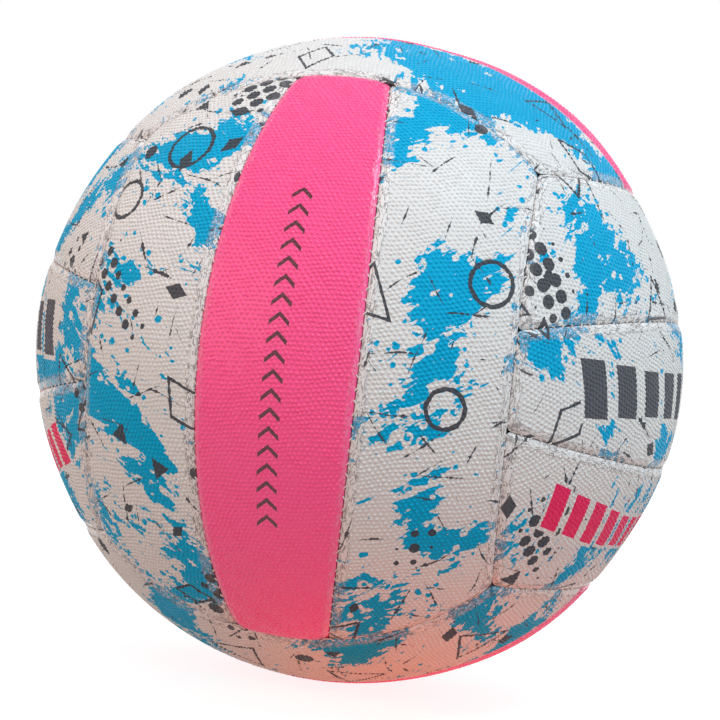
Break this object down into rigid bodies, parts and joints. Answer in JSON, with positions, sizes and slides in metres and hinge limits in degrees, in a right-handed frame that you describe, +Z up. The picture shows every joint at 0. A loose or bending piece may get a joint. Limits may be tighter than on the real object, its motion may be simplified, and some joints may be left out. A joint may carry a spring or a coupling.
{
  "type": "netball",
  "caption": "Inflated netball: a stitched cover of parallel strip panels over cloth linings and a bladder, with a needle valve flush in one panel.",
  "frame": {"origin": "the ball's centre", "axes": "+Z up, along the strips of the front and back faces; -Y out of the front face's middle; +Y out of the valve, in the middle of the back face; +X to the right, seen from the front"},
  "size_m": [0.2228, 0.2227, 0.2228],
  "materials": {
    "pink_cover": "satin",
    "white_cover": "satin",
    "lining_cloth": "matte",
    "seam_thread": "satin",
    "bladder_rubber": "satin",
    "patch_cloth": "matte",
    "valve_rubber": "satin",
    "plug_rubber": "satin"
  },
  "bodies": {
    "root": {"front_left_panel": "white_cover", "front_centre_panel": "pink_cover", "front_right_panel": "white_cover", "back_right_panel": "white_cover", "back_centre_panel": "pink_cover", "back_left_panel": "white_cover", "top_back_panel": "white_cover", "top_centre_panel": "pink_cover", "top_front_panel": "white_cover", "bottom_front_panel": "white_cover", "bottom_centre_panel": "pink_cover", "bottom_back_panel": "white_cover", "left_bottom_panel": "white_cover", "left_centre_panel": "white_cover", "left_top_panel": "white_cover", "right_top_panel": "white_cover", "right_centre_panel": "white_cover", "right_bottom_panel": "white_cover", "front_left_lining": "lining_cloth", "front_centre_lining": "lining_cloth", "front_right_lining": "lining_cloth", "back_right_lining": "lining_cloth", "back_centre_lining": "lining_cloth", "back_left_lining": "lining_cloth", "top_back_lining": "lining_cloth", "top_centre_lining": "lining_cloth", "top_front_lining": "lining_cloth", "bottom_front_lining": "lining_cloth", "bottom_centre_lining": "lining_cloth", "bottom_back_lining": "lining_cloth", "left_bottom_lining": "lining_cloth", "left_centre_lining": "lining_cloth", "left_top_lining": "lining_cloth", "right_top_lining": "lining_cloth", "right_centre_lining": "lining_cloth", "right_bottom_lining": "lining_cloth", "front_left_thread": "seam_thread", "front_right_thread": "seam_thread", "back_right_thread": "seam_thread", "back_left_thread": "seam_thread", "top_back_thread": "seam_thread", "top_front_thread": "seam_thread", "bottom_front_thread": "seam_thread", "bottom_back_thread": "seam_thread", "left_bottom_thread": "seam_thread", "left_top_thread": "seam_thread", "right_top_thread": "seam_thread", "right_bottom_thread": "seam_thread", "front_strip_threads": "seam_thread", "back_strip_threads": "seam_thread", "top_strip_threads": "seam_thread", "bottom_strip_threads": "seam_thread", "left_strip_threads": "seam_thread", "right_strip_threads": "seam_thread", "bladder": "bladder_rubber", "valve_patch": "patch_cloth", "valve_housing": "valve_rubber", "valve_plug": "plug_rubber"}
  },
  "joints": []
}
